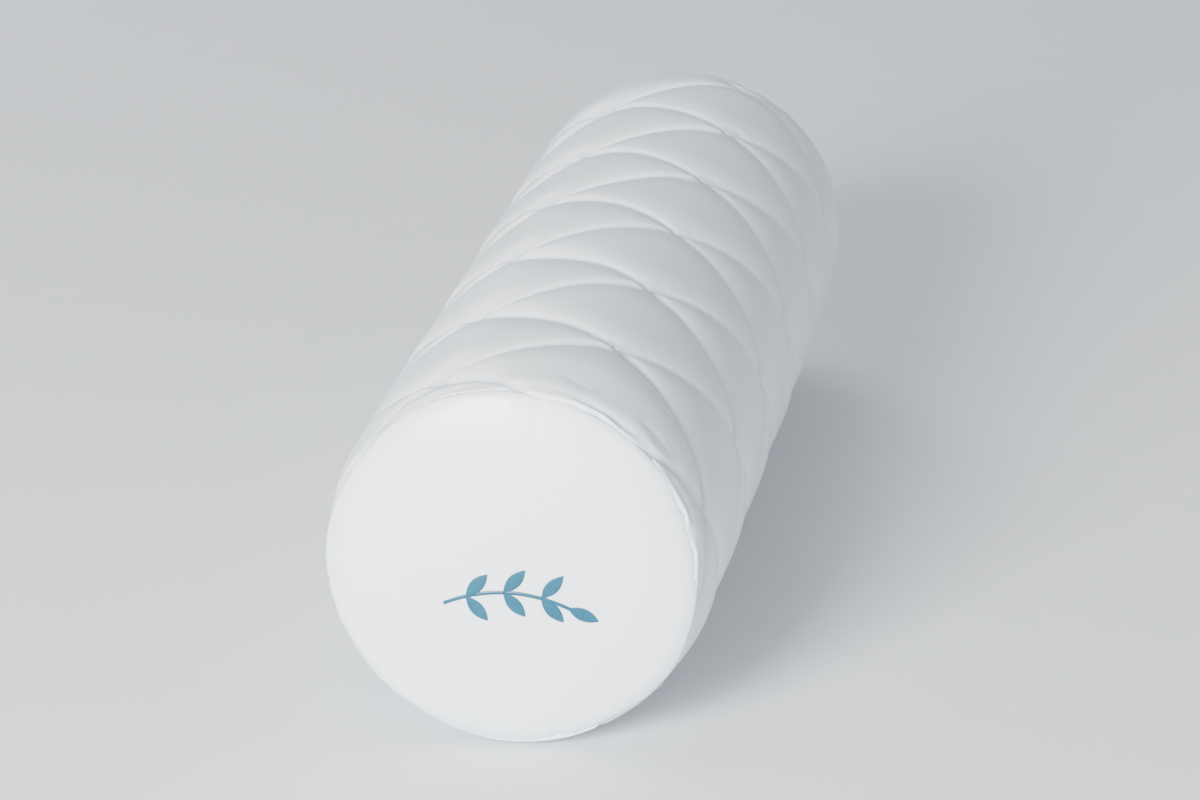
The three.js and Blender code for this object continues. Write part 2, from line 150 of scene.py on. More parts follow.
# Merges doubled points, removes faces without area and turns the rest to face out.
def cleanMesh(mesh, mergeAt=1e-6):
    work = bmesh.new()
    work.from_mesh(mesh)
    bmesh.ops.remove_doubles(work, verts=work.verts, dist=mergeAt)
    bmesh.ops.dissolve_degenerate(work, edges=work.edges, dist=mergeAt)
    bmesh.ops.recalc_face_normals(work, faces=work.faces)
    work.to_mesh(mesh)
    work.free()


# One number per vertex, which a material reads by its name.
def writeAttribute(mesh, name, values):
    field = mesh.attributes.new(name, "FLOAT", "POINT")
    field.data.foreach_set("value", np.asarray(values, np.float32).ravel())


# Blows a sewn sheet up like a stuffed one. Pinned points stay, and no point moves further than mostMove.
def inflate(points, faces, pinned, pressure, growth, mostMove, frames=20):
    before = np.asarray(points, float).reshape(-1, 3)
    mesh = meshOf("inflating", points, faces)
    sheet = bpy.data.objects.new("inflating", mesh)
    scene.collection.objects.link(sheet)
    sewn = sheet.vertex_groups.new(name="sewn")
    sewn.add(np.flatnonzero(pinned).tolist(), 1.0, "REPLACE")
    modifier = sheet.modifiers.new("cloth", "CLOTH")
    settings = modifier.settings
    settings.quality = 6
    settings.mass = 0.35
    settings.tension_stiffness = 18
    settings.compression_stiffness = 18
    settings.bending_stiffness = 0.4
    settings.vertex_group_mass = "sewn"
    settings.shrink_min = -growth
    settings.use_pressure = True
    settings.uniform_pressure_force = pressure
    settings.effector_weights.gravity = 0
    modifier.collision_settings.use_collision = False
    modifier.point_cache.frame_start = 1
    modifier.point_cache.frame_end = frames
    for step in range(1, frames + 1):
        scene.frame_set(step)
    graph = bpy.context.evaluated_depsgraph_get()
    after = pointsOf(sheet.evaluated_get(graph).data)
    scene.frame_set(1)
    bpy.data.objects.remove(sheet)
    move = after - before
    length = np.maximum(np.linalg.norm(move, axis=1, keepdims=True), 1e-9)
    return before + move / length * mostMove * np.tanh(length / mostMove)


# Doubles a grid along its first direction: each new point lies on the cubic through its four neighbours.
def doubled(grid, closed=False):
    if closed:
        back, ahead, further = np.roll(grid, 1, 0), np.roll(grid, -1, 0), np.roll(grid, -2, 0)
        between = (9 * (grid + ahead) - back - further) / 16
        return np.stack([grid, between], 1).reshape(-1, *grid.shape[1:])
    padded = np.concatenate([2 * grid[:1] - grid[1:2], grid, 2 * grid[-1:] - grid[-2:-1]])
    between = (9 * (padded[1:-2] + padded[2:-1]) - padded[:-3] - padded[3:]) / 16
    made = np.empty((2 * len(grid) - 1, *grid.shape[1:]))
    made[::2] = grid
    made[1::2] = between
    return made


# Ranges that a gather's width, depth and length are drawn from, and the reaches after which it has faded.
gather = {"width": (0.0012, 0.0034), "deep": (-0.6, 1.0), "long": (0.5, 1.3), "faded": 6}


# Gathers that a seam pulls into the cloth beside it: dents of random place, width, depth and length, each a
# bell curve along the seam that fades away from it. Along is measured round the seam, away from it.
def gathers(along, away, roundLength, count, depth, reach, seed):
    random = np.random.default_rng(seed)
    close = np.abs(away) < gather["faded"] * reach
    along, away, shape = along[close], away[close], along.shape
    total = np.zeros_like(along)
    places = random.uniform(0, roundLength, count)
    widths = random.uniform(*gather["width"], count)
    depths = random.uniform(*gather["deep"], count)
    lengths = random.uniform(*gather["long"], count)
    for place, width, deep, long in zip(places, widths, depths, lengths):
        apart = (along - place + roundLength / 2) % roundLength - roundLength / 2
        total += deep * np.exp(-((apart / width) ** 2)) * np.exp(-np.abs(away) / (reach * long))
    made = np.zeros(shape)
    made[close] = depth * total
    return made


# Linear colour from an sRGB hex value.
def colourOf(hexValue):
    channels = [int(hexValue[i:i + 2], 16) / 255 for i in (1, 3, 5)]
    return [c / 12.92 if c <= 0.04045 else ((c + 0.055) / 1.055) ** 2.4 for c in channels] + [1]


# Links outputs to a node's inputs, which are given by name or number.
def feed(node, sources):
    for key, source in sources.items():
        node.id_data.links.new(source, node.inputs[key])


# Adds a node. Settings are its sockets' values, with colours as hex, or its own properties. Links are what feeds it.
def addNode(tree, kind, settings=None, links=None):
    node = tree.nodes.new(kind)
    for key, value in (settings or {}).items():
        if isinstance(key, int) or key in node.inputs:
            node.inputs[key].default_value = colourOf(value) if isinstance(value, str) else value
        else:
            setattr(node, key, value)
    feed(node, links or {})
    return node


# A material, its shader, which holds the values that are even over the surface, and the place that patterns read.
def newMaterial(name, shaderSettings):
    material = bpy.data.materials.new(name)
    material.use_nodes = True
    tree = material.node_tree
    tree.nodes.clear()
    shader = addNode(tree, "ShaderNodeBsdfPrincipled", shaderSettings)
    addNode(tree, "ShaderNodeOutputMaterial", {}, {"Surface": shader.outputs["BSDF"]})
    return material, tree, shader, addNode(tree, "ShaderNodeTexCoord").outputs["Object"]


# Sockets of a Mix node set to colours: its factor, its two colours, and the mixed one among its outputs.
mixFactor, mixLow, mixHigh, mixed = 0, 6, 7, 2


# Coated PU leatherette, embossed with a fine grain: a cool white satin with soft, slightly broken
# highlights. The emboss is 1.1 mm across, and larger pores are drawn at 7 mm so that they show.
def makeLeatherette():
    material, tree, shader, place = newMaterial("embossedLeatherette", {
        "IOR": 1.47, "Coat Weight": 0.22, "Coat Roughness": 0.24, "Specular IOR Level": 0.5})
    grain = addNode(tree, "ShaderNodeTexVoronoi", {"feature": "SMOOTH_F1", "Scale": 900, "Smoothness": 0.6,
                                                   "Randomness": 1.0}, {"Vector": place})
    pores = addNode(tree, "ShaderNodeTexNoise", {"Scale": 140, "Detail": 5, "Roughness": 0.6}, {"Vector": place})
    clouds = addNode(tree, "ShaderNodeTexNoise", {"Scale": 9, "Detail": 3}, {"Vector": place})
    crease = addNode(tree, "ShaderNodeAttribute", {"attribute_name": "crease"})
    cloudy = addNode(tree, "ShaderNodeMix", {"data_type": "RGBA", mixLow: "#f3f7fa", mixHigh: "#e9f0f5"},
                     {mixFactor: clouds.outputs["Fac"]})
    # Painted shade: the colour turns grey-blue (#c9d3dc) where the crease attribute is high, in the quilting creases,
    # beside the seams and round the caps' rims.
    paintedCreaseShade = addNode(tree, "ShaderNodeMix", {"data_type": "RGBA", mixHigh: "#c9d3dc"},
                    {mixFactor: crease.outputs["Fac"], mixLow: cloudy.outputs[mixed]})
    polish = addNode(tree, "ShaderNodeMapRange", {"To Min": 0.3, "To Max": 0.46}, {"Value": pores.outputs["Fac"]})
    emboss = addNode(tree, "ShaderNodeBump", {"Strength": 0.16, "Distance": 0.0002},
                     {"Height": grain.outputs["Distance"]})
    swell = addNode(tree, "ShaderNodeBump", {"Strength": 0.10, "Distance": 0.0008},
                    {"Height": pores.outputs["Fac"], "Normal": emboss.outputs[0]})
    feed(shader, {"Base Color": paintedCreaseShade.outputs[mixed], "Roughness": polish.outputs[0], "Normal": swell.outputs[0]})
    return material


# Open-celled polyurethane foam, cut from a block: matt pale yellow with 1.5 mm cells.
def makeFoam():
    material, tree, shader, place = newMaterial("openCellFoam", {"IOR": 1.45, "Roughness": 0.95})
    cells = addNode(tree, "ShaderNodeTexVoronoi", {"Scale": 650}, {"Vector": place})
    # Painted shade: the colour darkens towards the cells' edges, which the inverted bump makes the hollows.
    tone = addNode(tree, "ShaderNodeMix", {"data_type": "RGBA", mixLow: "#f1ebc8", mixHigh: "#cfc48e"},
                   {mixFactor: cells.outputs["Distance"]})
    bump = addNode(tree, "ShaderNodeBump", {"Strength": 0.6, "Distance": 0.0006, "invert": True},
                   {"Height": cells.outputs["Distance"]})
    feed(shader, {"Base Color": tone.outputs[mixed], "Normal": bump.outputs[0]})
    return material


# Needled polyester wadding: soft white fibre with no gloss, in strands 3 mm long.
def makeFleece():
    material, tree, shader, place = newMaterial("polyesterWadding", {
        "IOR": 1.45, "Roughness": 1.0, "Sheen Weight": 0.4, "Sheen Roughness": 0.5})
    fibres = addNode(tree, "ShaderNodeTexNoise", {"Scale": 330, "Detail": 8, "Roughness": 0.7, "Distortion": 2.5},
                     {"Vector": place})
    # Painted shade: the colour darkens where the fibres' relief is low, between the strands.
    tone = addNode(tree, "ShaderNodeMix", {"data_type": "RGBA", mixLow: "#dcdedb", mixHigh: "#fbfbf8"},
                   {mixFactor: fibres.outputs["Fac"]})
    bump = addNode(tree, "ShaderNodeBump", {"Strength": 0.8, "Distance": 0.0012}, {"Height": fibres.outputs["Fac"]})
    feed(shader, {"Base Color": tone.outputs[mixed], "Normal": bump.outputs[0]})
    return material


# Woven cloth or tape: threads cross every spacing (metres) along two directions. Matt, with the weave in relief.
def makeWoven(name, light, dark, spacing, turn=0.0):
    material, tree, shader, place = newMaterial(name, {"IOR": 1.45, "Roughness": 0.85, "Sheen Weight": 0.2})
    turned = addNode(tree, "ShaderNodeMapping", {"Rotation": (zipTurn, 0, turn)}, {"Vector": place})
    # A wave texture's bands repeat every pi / (10 * scale).
    scale = math.pi / (10 * spacing)
    warp = addNode(tree, "ShaderNodeTexWave", {"bands_direction": "X", "Scale": scale, "Distortion": 0.4},
                   {"Vector": turned.outputs[0]})
    weft = addNode(tree, "ShaderNodeTexWave", {"bands_direction": "Z", "Scale": scale, "Distortion": 0.4},
                   {"Vector": turned.outputs[0]})
    crossed = addNode(tree, "ShaderNodeMath", {"operation": "MULTIPLY"},
                      {0: warp.outputs["Fac"], 1: weft.outputs["Fac"]})
    # Painted shade: the colour darkens where the weave is low, between the threads.
    tone = addNode(tree, "ShaderNodeMix", {"data_type": "RGBA", mixLow: dark, mixHigh: light},
                   {mixFactor: crossed.outputs[0]})
    bump = addNode(tree, "ShaderNodeBump", {"Strength": 0.5, "Distance": 0.0003}, {"Height": crossed.outputs[0]})
    feed(shader, {"Base Color": tone.outputs[mixed], "Normal": bump.outputs[0]})
    return material


# Bonded polyester sewing thread: white, faintly shiny, its plies 0.7 mm apart.
def makeThread():
    material, tree, shader, place = newMaterial("bondedThread", {"IOR": 1.5, "Roughness": 0.5, "Sheen Weight": 0.15})
    plies = addNode(tree, "ShaderNodeTexWave", {"bands_direction": "DIAGONAL", "Scale": math.pi / (10 * 0.0007),
                                               "Distortion": 1.5}, {"Vector": place})
    # Painted shade: the colour darkens in the grooves between the plies.
    tone = addNode(tree, "ShaderNodeMix", {"data_type": "RGBA", mixLow: "#dfe6ea", mixHigh: "#f9fcfd"},
                   {mixFactor: plies.outputs["Fac"]})
    bump = addNode(tree, "ShaderNodeBump", {"Strength": 0.4, "Distance": 0.0002}, {"Height": plies.outputs["Fac"]})
    feed(shader, {"Base Color": tone.outputs[mixed], "Normal": bump.outputs[0]})
    return material


# Heat-pressed vinyl film: an even deep teal, a little glossier than the leatherette that it follows.
def makeFilm():
    material, tree, shader, place = newMaterial("pressedVinylFilm", {
        "IOR": 1.5, "Coat Weight": 0.1, "Coat Roughness": 0.3})
    press = addNode(tree, "ShaderNodeTexNoise", {"Scale": 120, "Detail": 4}, {"Vector": place})
    tone = addNode(tree, "ShaderNodeMix", {"data_type": "RGBA", mixLow: "#00465f", mixHigh: "#006076"},
                   {mixFactor: press.outputs["Fac"]})
    polish = addNode(tree, "ShaderNodeMapRange", {"To Min": 0.28, "To Max": 0.42}, {"Value": press.outputs["Fac"]})
    bump = addNode(tree, "ShaderNodeBump", {"Strength": 0.1, "Distance": 0.0002}, {"Height": press.outputs["Fac"]})
    feed(shader, {"Base Color": tone.outputs[mixed], "Roughness": polish.outputs[0], "Normal": bump.outputs[0]})
    return material


# Nylon monofilament, heat-set into coils: milky white with a waxy shine.
def makeNylon():
    material, tree, shader, place = newMaterial("nylonMonofilament", {
        "IOR": 1.53, "Subsurface Weight": 0.08, "Subsurface Radius": (0.001, 0.001, 0.001)})
    milk = addNode(tree, "ShaderNodeTexNoise", {"Scale": 400, "Detail": 2}, {"Vector": place})
    tone = addNode(tree, "ShaderNodeMix", {"data_type": "RGBA", mixLow: "#d3dade", mixHigh: "#eef2f4"},
                   {mixFactor: milk.outputs["Fac"]})
    polish = addNode(tree, "ShaderNodeMapRange", {"To Min": 0.25, "To Max": 0.4}, {"Value": milk.outputs["Fac"]})
    feed(shader, {"Base Color": tone.outputs[mixed], "Roughness": polish.outputs[0]})
    return material


# Nickel-plated zinc casting, tumbled bright: soft grey reflections broken by hair scratches 0.3 mm apart.
def makeNickel():
    material, tree, shader, place = newMaterial("nickelPlatedZinc", {"Metallic": 1.0})
    stretched = addNode(tree, "ShaderNodeMapping", {"Scale": (0.15, 1, 1)}, {"Vector": place})
    scratches = addNode(tree, "ShaderNodeTexNoise", {"Scale": 3300, "Detail": 3}, {"Vector": stretched.outputs[0]})
    stains = addNode(tree, "ShaderNodeTexNoise", {"Scale": 260, "Detail": 3}, {"Vector": place})
    tone = addNode(tree, "ShaderNodeMix", {"data_type": "RGBA", mixLow: "#b3b7ba", mixHigh: "#d2d4d5"},
                   {mixFactor: stains.outputs["Fac"]})
    polish = addNode(tree, "ShaderNodeMapRange", {"To Min": 0.16, "To Max": 0.38},
                     {"Value": scratches.outputs["Fac"]})
    bump = addNode(tree, "ShaderNodeBump", {"Strength": 0.08, "Distance": 0.0001},
                   {"Height": scratches.outputs["Fac"]})
    feed(shader, {"Base Color": tone.outputs[mixed], "Roughness": polish.outputs[0], "Normal": bump.outputs[0]})
    return material


leatherette = makeLeatherette()
foam = makeFoam()
fleece = makeFleece()
liningCloth = makeWoven("plainWeaveLining", "#e4e7e8", "#bfc5c8", 0.0009)
zipTapeCloth = makeWoven("twillZipTape", "#eef1f2", "#c3cacd", 0.0007, turn=math.radians(45))
thread = makeThread()
film = makeFilm()
nylon = makeNylon()
nickel = makeNickel()

nodeFinishes = {
    "foam": (foam, ["foam_core"]),
    "lining": (liningCloth, ["quilt_backing", "inner_cover", "inner_cover_end_near", "inner_cover_end_far",
                             "cap_backing_near", "cap_backing_far", "zip_guard"]),
    "tape": (zipTapeCloth, ["zip_tape_upper", "zip_tape_lower", "seam_binding_near", "seam_binding_far"]),
}
for material, names in nodeFinishes.values():
    for name in names:
        cadNodes[name].data.materials.clear()
        cadNodes[name].data.materials.append(material)
print("materials made")


# Quilted sleeve: one sheet from the zip line round to itself, sewn down along crossing lines.
sleeve = {
    "steps": 16,            # grid steps across half a diamond
    "halfDiamonds": 7,      # round the bolster
    "halfPitch": 0.0475,    # half a diamond along X
    "firstCrossing": 0.077,  # of the sewn lines, from the near seam
    "sewnDepth": 0.0050,    # sewn lines below the plump surface
    "plumpPower": 4.5,      # the higher, the flatter the middle of a diamond
    "startPuff": 0.62,      # how plump the sheet is before it is inflated
    "pressure": 5.0,
    "growth": 0.02,
    "mostMove": 0.0045,
    "mostProud": 0.0025,    # of the plump surface
    "creaseDepth": 0.0018,  # the thread's own crease
    "creaseWidth": 0.0018,
    "seamFade": 0.018,      # over this stretch before the seam the quilting loses seamLoss of its depth
    "seamLoss": 0.75,
    "drawnIn": 0.0030,      # how much the seam draws in the sleeve beside it
    "drawnFade": (0.004, 0.045),   # that fades between these distances from the seam
    "drawnStart": 0.006,    # and builds up over this one
    "flatBeside": (0.011, 0.030),  # the quilting fades in between these distances from the zip line
    "flatDrop": 0.0003,     # unquilted cloth below the plump surface
    "rowsEachWay": 95,      # even rows on each side of the middle
    "slotReach": 4,         # columns that the slot pushes aside
    "lipRadius": 0.0011,
    "slotHalfLength": 0.2292,
    "slotHalfWidth": 0.0052,
    "joinHalfGap": 0.00004,
}
halfArc = 2 * math.pi * coverRadius / sleeve["halfDiamonds"]  # half a diamond round the bolster
diamondWidth = 2 * sleeve["halfPitch"] * halfArc / math.hypot(sleeve["halfPitch"], halfArc)


# Distance to the nearest of a family of lines. Position counts half diamonds, with a line at every even number.
def fromLine(position):
    return np.abs(position - 2 * np.round(position / 2)) * diamondWidth / 2


# Distance to the nearest sewn line of each family. In half diamonds along (a) and round (b) the bolster,
# the lines are a - b = even and a + b = even.
def sewnDistances(x, arc):
    a = (x + seamX - sleeve["firstCrossing"]) / sleeve["halfPitch"]
    b = arc / halfArc
    return fromLine(a - b), fromLine(a + b)


# How plump the sheet is at a distance from a sewn line: 0 on the line, 1 in the middle of a diamond.
def plumpness(away):
    return 1 - (1 - np.clip(away / (diamondWidth / 2), 0, 1)) ** sleeve["plumpPower"]


# Share of the quilting's depth at a point: none beside the zip, less where the sleeve rolls in to its seam.
def quiltShare(x, fromZip):
    lost = sleeve["seamLoss"] * smoothStep(seamX - sleeve["seamFade"], seamX, np.abs(x))
    return smoothStep(*sleeve["flatBeside"], fromZip) * (1 - lost)


# Radius of the sleeve between its sewn lines: the seam draws it in over its last stretch.
def plumpRadius(x):
    fromSeam = seamX - np.abs(x)
    faded = 1 - smoothStep(*sleeve["drawnFade"], fromSeam)
    return sleeveRadiusAt(x) - sleeve["drawnIn"] * faded * smoothStep(0, sleeve["drawnStart"], fromSeam)


# Half width of the zip slot at x, with round ends, and a closed join beyond it.
def slotEdgeAt(x):
    bendFrom = sleeve["slotHalfLength"] - sleeve["slotHalfWidth"]
    past = np.clip((np.abs(x) - bendFrom) / sleeve["slotHalfWidth"], 0, 1)
    return sleeve["joinHalfGap"] + sleeve["slotHalfWidth"] * np.sqrt(1 - past**2)


# Rows along X: even steps, then finer ones where the sleeve curls in to the seam.
rowStep = sleeve["halfPitch"] / sleeve["steps"]
evenRows = np.arange(-sleeve["rowsEachWay"], sleeve["rowsEachWay"] + 1) * rowStep
curlRows = np.array([0.2832, 0.2841, 0.2847, seamX])
rowX = np.concatenate([-curlRows[::-1], evenRows, curlRows])
mainColumns = np.arange(sleeve["halfDiamonds"] * sleeve["steps"] + 1) * halfArc / sleeve["steps"]
wholeArc = 2 * math.pi * coverRadius
# Each lip of the slot is folded in, in four columns: three round the bend, and one that hangs below it.
lipTurns = np.radians([90, 90, 60, 30])
lipFall = np.array([0.0005, 0, 0, 0])

# The sheet on an even cylinder: columns go round from one lip of the slot to the other.
x, arc = np.meshgrid(rowX, mainColumns, indexing="ij")
fromZip = np.minimum(arc, wholeArc - arc)
edge = slotEdgeAt(x)
reach = sleeve["slotReach"] * mainColumns[1]
pushed = (edge + sleeve["lipRadius"]) * np.clip(1 - fromZip / reach, 0, 1)
arcNow = arc + np.where(arc < wholeArc / 2, pushed, -pushed)
toA, toB = sewnDistances(x, arc)
share = quiltShare(x, fromZip)
puff = plumpness(toA) * plumpness(toB) * sleeve["startPuff"]
radius = plumpRadius(x) - sleeve["sewnDepth"] * share * (1 - puff) - sleeve["flatDrop"] * (1 - share)
lipSide = sleeve["lipRadius"] * np.sin(lipTurns)
lipDrop = sleeve["lipRadius"] * (1 - np.cos(lipTurns)) + lipFall
lipArc = arcNow[:, :1] - lipSide[None]
lipRadius = radius[:, :1] - lipDrop[None]
farLipArc = arcNow[:, -1:] + lipSide[None, ::-1]
farLipRadius = radius[:, -1:] - lipDrop[None, ::-1]
arcGrid = np.concatenate([lipArc, arcNow, farLipArc], 1)
radiusGrid = np.concatenate([lipRadius, radius, farLipRadius], 1)
xGrid = np.repeat(rowX[:, None], arcGrid.shape[1], 1)
flatArc = np.concatenate([np.zeros_like(lipArc), arc, np.full_like(farLipArc, wholeArc)], 1)
sheetStart = roundAxis(xGrid, zipTurn + arcGrid / coverRadius, radiusGrid)
toA, toB = sewnDistances(xGrid, flatArc)
fromZip = np.minimum(flatArc, wholeArc - flatArc)
# Pinned: the sewn lines, the strips beside the zip and the two seams.
held = (np.minimum(toA, toB) < 1e-5) | (fromZip < sleeve["flatBeside"][0]) | (np.abs(xGrid) > seamX - 1e-6)
rows, columns = sheetStart.shape[:2]
sheet = inflate(sheetStart, gridFaces(rows, columns).tolist(), held.ravel(), sleeve["pressure"],
                sleeve["growth"], sleeve["mostMove"]).reshape(rows, columns, 3)
print("sleeve inflated: moved up to %.1f mm" % (1000 * np.abs(sheet - sheetStart).max()))

# Ripples beside the sewn lines: two waves, the longer one drifting, that fade out of the crease.
ripple = {"height": 0.00022, "long": 0.0093, "short": 0.0057, "drift": 0.031, "reach": 0.006, "start": 0.002}
seamGathers = {"count": 110, "depth": -0.0004, "reach": 0.007, "start": 0.0012, "seeds": {-1: 11, 1: 12}}

# How much painted shade the creases, the sleeve's seams and the caps' rims get, and how far it reaches from the
# seams.
paintedShade = {"crease": 0.5, "seam": 0.35, "reach": 0.0015, "cap": 0.3, "capReach": 0.0012}

# One subdivision, then the crease that the thread pulls in and the small ripples beside it.
fine = doubled(np.swapaxes(doubled(sheet), 0, 1)).swapaxes(0, 1)
fineX = doubled(doubled(xGrid).T).T
fineArc = doubled(doubled(flatArc).T).T
toA, toB = sewnDistances(fineX, fineArc)
fromZip = np.clip(np.minimum(fineArc, wholeArc - fineArc), 0, None)
share = quiltShare(fineX, fromZip)
nearest = np.minimum(toA, toB)
crease = np.exp(-((nearest / sleeve["creaseWidth"]) ** 2)) * share
# Distance along the nearer sewn line, 0.86 of it round the bolster and 0.51 along it.
along = 0.86 * fineArc + 0.51 * np.where(toA < toB, fineX, -fineX)
wave = (np.sin(along * 2 * math.pi / ripple["long"] + 2.1 * np.sin(along / ripple["drift"]))
        + 0.6 * np.sin(along * 2 * math.pi / ripple["short"]))
rippleFade = np.exp(-nearest / ripple["reach"]) * (1 - np.exp(-((nearest / ripple["start"]) ** 2)))
fromSeam = seamX - np.abs(fineX)
atSeam = sum(gathers(fineArc, fromSeam, wholeArc, seamGathers["count"], seamGathers["depth"],
                     seamGathers["reach"], seed) * (fineX * side > 0)
             for side, seed in seamGathers["seeds"].items()) * (1 - np.exp(-((fromSeam / seamGathers["start"]) ** 2)))
outward = fine - axisMiddle
outward[..., 0] = 0
away = np.linalg.norm(outward, axis=-1, keepdims=True)
height = away + (ripple["height"] * wave * share * rippleFade + atSeam - sleeve["creaseDepth"] * crease)[..., None]
height = np.minimum(height, coverRadius + sleeve["mostProud"])
fine = axisMiddle + outward / away * height + np.stack([fine[..., 0], 0 * fineX, 0 * fineX], -1)
fineRows, fineColumns = fine.shape[:2]
faces = gridFaces(fineRows, fineColumns)
# Quads beside the second family of lines start one corner later, so that they fold along those lines.
midA, midB = (q[:-1, :-1] + q[1:, 1:] + q[1:, :-1] + q[:-1, 1:] for q in (toA, toB))
faces[(midB < midA).ravel()] = np.roll(faces[(midB < midA).ravel()], -1, axis=1)
sleeveMesh = meshOf("quiltedSleeve", settled(fine), faces.tolist())
# Painted shade: the crease attribute greys the leatherette in the quilting creases and beside the seams.
writeAttribute(sleeveMesh, "crease", paintedShade["crease"] * crease + paintedShade["seam"] * np.exp(-fromSeam / paintedShade["reach"]))
quiltedSleeve = addPiece("quiltedSleeve", sleeveMesh, "cover", leatherette, ["quilted_facing"])
thicken(quiltedSleeve, cloth["facing"], -1)
print("quilted sleeve:", len(quiltedSleeve.data.polygons), "faces")

# Wadding under the sleeve: it follows the quilting and stops beside the zip.
wadding = {
    "beside": 0.0190,    # distance that it keeps from the zip line
    "facingGap": 0.0004,
    "backingGap": 0.0004,
    "thinnest": 0.0006,
    "lift": 0.0018,      # of its rest face above the floor
}
kept = (mainColumns > wadding["beside"]) & (mainColumns < wholeArc - wadding["beside"])
lipCount, curlCount = len(lipTurns), len(curlRows)
inside = sheet[curlCount:-curlCount, lipCount:-lipCount][:, kept]
outward = inside - axisMiddle
outward[..., 0] = 0
away = np.linalg.norm(outward, axis=-1)
angle = np.arctan2(outward[..., 2], outward[..., 1])
lowest = backingRadius + wadding["backingGap"]
backingAt = sleeveRadiusAt(inside[..., 0]) - (coverRadius - lowest)
topSide = away - cloth["facing"] - wadding["facingGap"] - sleeve["creaseDepth"]
topSide = np.maximum(topSide, backingAt + wadding["thinnest"])
outer = settled(roundAxis(inside[..., 0], angle, topSide), wadding["lift"])
inner = settled(roundAxis(inside[..., 0], angle, backingAt), wadding["lift"])
wRows, wColumns = outer.shape[:2]
# Round the sheet's section the columns go out over the top and back underneath, and the two ends are closed.
ringed = np.concatenate([outer, inner[:, ::-1]], 1)
sideFaces = gridFaces(wRows, 2 * wColumns, closed=True)
endColumns = np.arange(wColumns - 1)
endFaces = np.stack([endColumns, 2 * wColumns - 1 - endColumns, 2 * wColumns - 2 - endColumns, endColumns + 1], -1)
farFaces = endFaces[:, ::-1] + (wRows - 1) * 2 * wColumns
waddingMesh = meshOf("quiltWadding", ringed, np.concatenate([sideFaces, endFaces, farFaces]).tolist())
quiltWadding = addPiece("quiltWadding", waddingMesh, "cover", fleece, ["quilt_wadding"])
cleanMesh(quiltWadding.data)
print("wadding:", len(quiltWadding.data.polygons), "faces")

# End caps: a disc drawn in at its seam and stuffed.
cap = {
    "around": 128,
    "rings": 30,
    "rimGap": 0.0001,     # between the cap's rim and the seam
    "rise": 0.0165,       # of the crown above the seam before it is inflated
    "swell": 0.0048,      # how far the rim bulges past the seam
    "swellPower": 2.1,    # the higher, the closer to the rim the bulge lies
    "pressure": 4.0,
    "growth": 0.015,
    "mostMove": 0.0040,
    "puckers": 46,
    "pucker": 0.0012,     # depth
    "puckerReach": 0.011,
    "puckerStart": 0.0015,
    "saddle": 0.0007,     # keeps the rim from being too flat
    "saddleFrom": 0.03,   # the distance from the rim over which it fades
    "paddingGap": 0.0008,    # round the padding
    "paddingBelow": 0.0010,  # under the crown
    "paddingBack": 0.0004,   # behind it
}


# Sheet of a cap from crown to rim. Along the profile t (0 at the crown, 1 at the rim) the radius is
# R sin(90 t) plus a bulge near the rim that is uneven round it, and the height is rise cos(90 t).
def capSheet(ringShares, turns):
    t, angle = np.meshgrid(ringShares, turns, indexing="ij")
    uneven = 1 + 0.3 * np.sin(2 * angle + 0.6) + 0.2 * np.sin(5 * angle + 2)
    bulge = cap["swell"] * uneven * np.sin(math.pi * t ** cap["swellPower"])
    radius = (seamRadius - cap["rimGap"]) * np.sin(t * math.pi / 2) + bulge
    height = cap["rise"] * np.maximum(np.cos(t * math.pi / 2), 0)
    return np.stack([-capFootX - height, radius * np.cos(angle), axisZ + radius * np.sin(angle)], -1)


# A fan round the crown, then quads from ring to ring.
def capFaces(rings, around):
    first = np.arange(around)
    fan = np.stack([np.zeros(around, int), 1 + first, 1 + (first + 1) % around], -1)
    return fan.tolist() + gridFaces(rings - 1, around, closed=True, start=1)[:, ::-1].tolist()


ringShares = np.linspace(0, 1, cap["rings"]) ** 0.9  # closer together at the rim
turns = np.arange(cap["around"]) * 2 * math.pi / cap["around"]
capStart = capSheet(ringShares, turns)
flatStart = np.concatenate([capStart[0, :1], capStart[1:].reshape(-1, 3)])
capHeld = np.zeros(len(flatStart), bool)
capHeld[-cap["around"]:] = True
capPuffed = inflate(flatStart, capFaces(cap["rings"], cap["around"]), capHeld, cap["pressure"],
                    cap["growth"], cap["mostMove"])
print("cap inflated: moved up to %.1f mm" % (1000 * np.abs(capPuffed - flatStart).max()))
rimGrid = capPuffed[1:].reshape(cap["rings"] - 1, cap["around"], 3)
crown = np.repeat(capPuffed[:1][None], cap["around"], 1)
capGrid = np.concatenate([crown, rimGrid])
capFine = doubled(np.swapaxes(doubled(np.swapaxes(capGrid, 0, 1), closed=True), 0, 1))


